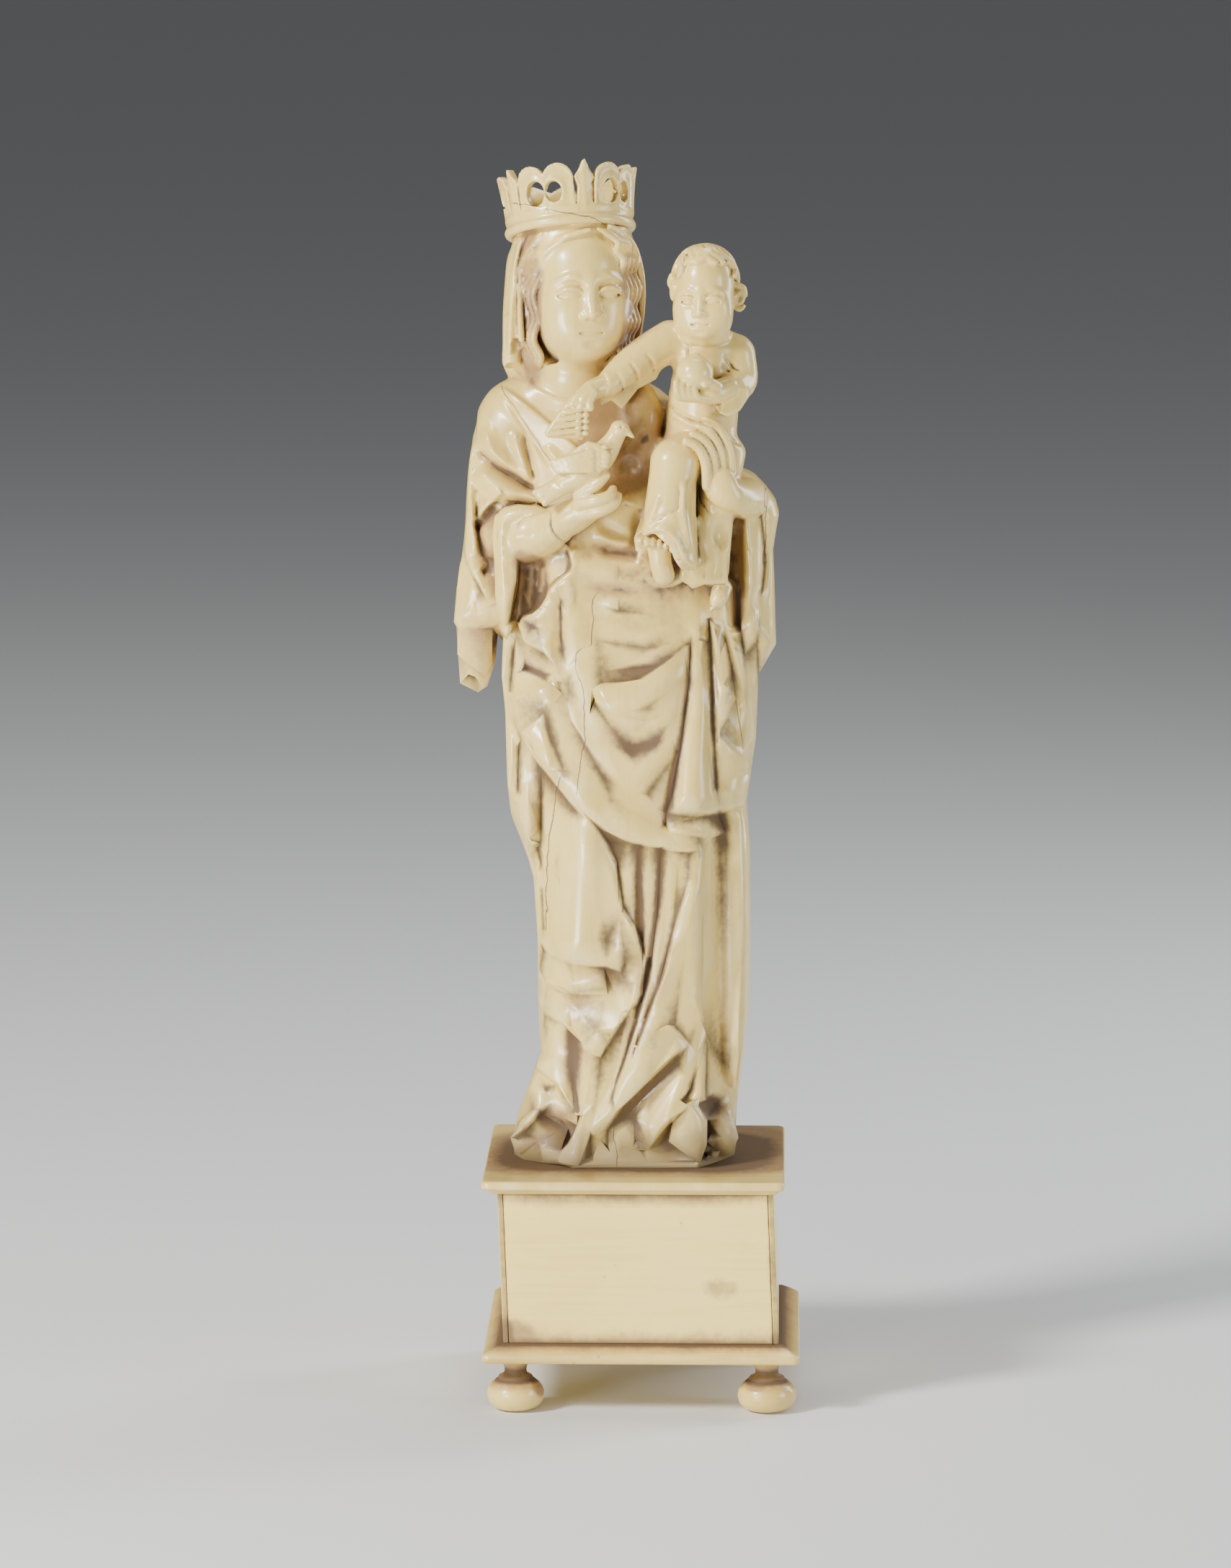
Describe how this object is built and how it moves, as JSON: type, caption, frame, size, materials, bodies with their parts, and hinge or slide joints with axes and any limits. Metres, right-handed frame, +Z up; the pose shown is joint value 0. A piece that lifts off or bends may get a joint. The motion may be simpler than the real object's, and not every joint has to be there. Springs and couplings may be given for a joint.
{
  "type": "ivory madonna carving on a box plinth",
  "caption": "Standing crowned Madonna with the Child and a bird, carved in ivory, on a square moulded box plinth with bun feet.",
  "frame": {"origin": "centre of the plinth on the plane that the bun feet stand on", "axes": "+Z up, -Y is the front that the figure faces, +X to the right of somebody looking at the front"},
  "size_m": [0.0968, 0.086, 0.3441],
  "materials": {
    "carved_ivory": "polished old ivory, cream yellow, brown grime in the recesses",
    "aged_ivory": "semi-polished ivory, warmer, brown streaks and grime along the mouldings",
    "panel_ivory": "thin polished ivory sheet, paler, fine level grain and faint stains",
    "turned_ivory": "turned ivory with brown stain in the turning lines"
  },
  "bodies": {
    "root": {"virgin_and_child": "carved_ivory", "plinth_slab": "aged_ivory", "plinth_moulding": "aged_ivory", "panel_front": "panel_ivory", "panel_back": "panel_ivory", "panel_left": "panel_ivory", "panel_right": "panel_ivory", "foot_front_left": "turned_ivory", "foot_front_right": "turned_ivory", "foot_back_left": "turned_ivory", "foot_back_right": "turned_ivory"}
  },
  "joints": []
}
